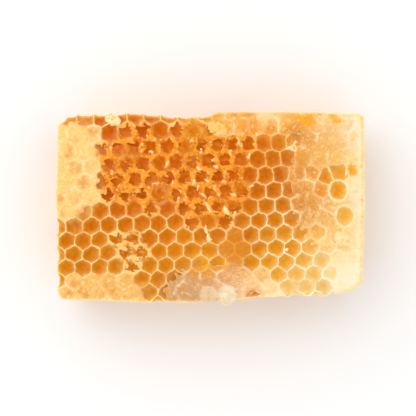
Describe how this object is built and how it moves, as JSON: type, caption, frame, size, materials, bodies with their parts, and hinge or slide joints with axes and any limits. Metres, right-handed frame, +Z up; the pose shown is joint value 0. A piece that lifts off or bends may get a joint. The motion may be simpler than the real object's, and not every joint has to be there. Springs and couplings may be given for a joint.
{
  "type": "honeycomb piece",
  "caption": "Rectangular slab of cut beeswax comb with open, torn and sealed cells full of honey, lying flat on its lower face.",
  "frame": {"origin": "middle of the flat lower face, which lies on the table", "axes": "+X along the slab's long sides, +Y across it, +Z up out of the open and sealed cells"},
  "size_m": [0.0984, 0.0614, 0.0266],
  "materials": {
    "wax": "cream to golden beeswax, waxy and slightly translucent, wet with honey in places",
    "honey": "golden-orange honey, glossy and translucent"
  },
  "bodies": {
    "root": {"honeycomb": "wax"}
  },
  "joints": []
}
